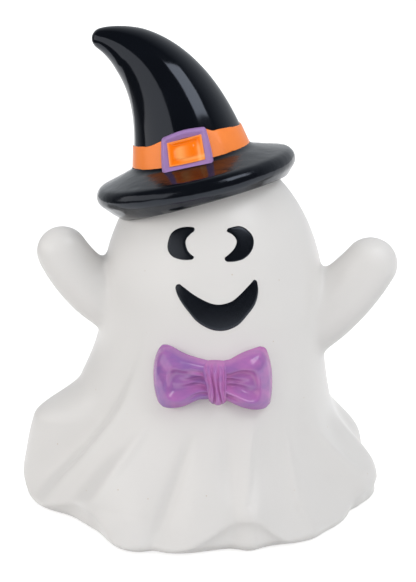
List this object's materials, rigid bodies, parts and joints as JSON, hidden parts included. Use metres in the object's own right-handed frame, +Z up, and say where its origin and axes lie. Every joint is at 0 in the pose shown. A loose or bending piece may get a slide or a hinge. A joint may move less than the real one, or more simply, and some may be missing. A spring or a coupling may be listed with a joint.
{
  "type": "ceramic ghost figure",
  "caption": "Hollow glazed ceramic ghost with a flared draped skirt, raised arms, a smiling face, a bow tie and a leaning witch hat; a free-standing seasonal decoration.",
  "frame": {"origin": "middle of the foot, on the surface that the felt pads stand on", "axes": "+Z up, the face looks along -Y, +X to the viewer's right when facing the figure"},
  "size_m": [0.168, 0.1479, 0.2144],
  "materials": {
    "white_glaze": "satin white glaze with tiny specks",
    "black_glaze": "gloss black glaze",
    "orange_matt": "satin orange underglaze, brushed",
    "orange_glaze": "gloss orange glaze",
    "purple_matt": "satin purple underglaze, brushed",
    "purple_glaze": "gloss purple glaze with pink brush strokes",
    "felt": "pressed felt"
  },
  "bodies": {
    "root": {"body_shell": "white_glaze", "left_arm": "white_glaze", "right_arm": "white_glaze", "hat_brim": "black_glaze", "hat_crown": "black_glaze", "left_eye": "black_glaze", "right_eye": "black_glaze", "mouth": "black_glaze", "hat_band": "orange_matt", "buckle_inset": "orange_glaze", "buckle_frame": "purple_matt", "bow_left_loop": "purple_glaze", "bow_right_loop": "purple_glaze", "bow_knot": "purple_glaze", "felt_pad_1": "felt", "felt_pad_2": "felt", "felt_pad_3": "felt", "felt_pad_4": "felt"}
  },
  "joints": []
}
